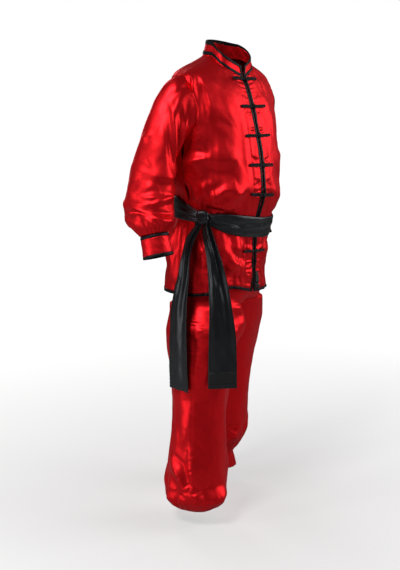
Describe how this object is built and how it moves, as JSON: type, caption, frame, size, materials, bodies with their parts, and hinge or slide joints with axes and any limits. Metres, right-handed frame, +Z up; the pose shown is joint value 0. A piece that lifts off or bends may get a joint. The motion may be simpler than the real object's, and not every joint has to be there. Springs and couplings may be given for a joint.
{
  "type": "tai chi uniform",
  "caption": "Satin martial arts uniform worn on an unseen figure: stand-collar jacket with frog fastenings, loose trousers with elastic ankles and a knotted sash.",
  "frame": {"origin": "middle of the neck where the jacket rests on the wearer's shoulders, 1.46 m above the floor that the wearer would stand on", "axes": "+Z up, -Y towards the front of the garment, -X towards the wearer's right"},
  "size_m": [0.761, 0.3989, 1.49],
  "materials": {
    "red_satin": "glossy red polyester satin",
    "black_satin": "glossy black satin",
    "black_binding": "black satin bias binding",
    "black_braid": "matt black corded braid",
    "woven_label": "plain black woven label"
  },
  "bodies": {
    "root": {"collar": "red_satin", "collar_binding": "black_binding", "cuff_band_left": "black_binding", "cuff_band_right": "black_binding", "cuff_binding_left": "black_binding", "cuff_binding_right": "black_binding", "cuff_left": "red_satin", "cuff_right": "red_satin", "edge_binding_left": "black_binding", "edge_binding_right": "black_binding", "frog_1_knot": "black_braid", "frog_1_loop": "black_braid", "frog_2_knot": "black_braid", "frog_2_loop": "black_braid", "frog_3_knot": "black_braid", "frog_3_loop": "black_braid", "frog_4_knot": "black_braid", "frog_4_loop": "black_braid", "frog_5_knot": "black_braid", "frog_5_loop": "black_braid", "frog_7_knot": "black_braid", "frog_7_loop": "black_braid", "front_underlap": "red_satin", "hem_binding_back": "black_binding", "hem_binding_left": "black_binding", "hem_binding_right": "black_binding", "hem_label": "woven_label", "jacket_back": "red_satin", "jacket_front_left": "red_satin", "jacket_front_right": "red_satin", "neck_band": "black_binding", "sash_knot": "black_satin", "sash_patch": "woven_label", "sash_tail_back": "black_satin", "sash_tail_front": "black_satin", "sash_wrap": "black_satin", "sleeve_left": "red_satin", "sleeve_right": "red_satin", "trouser_leg_left": "red_satin", "trouser_leg_right": "red_satin", "trouser_waistband": "red_satin"}
  },
  "joints": []
}
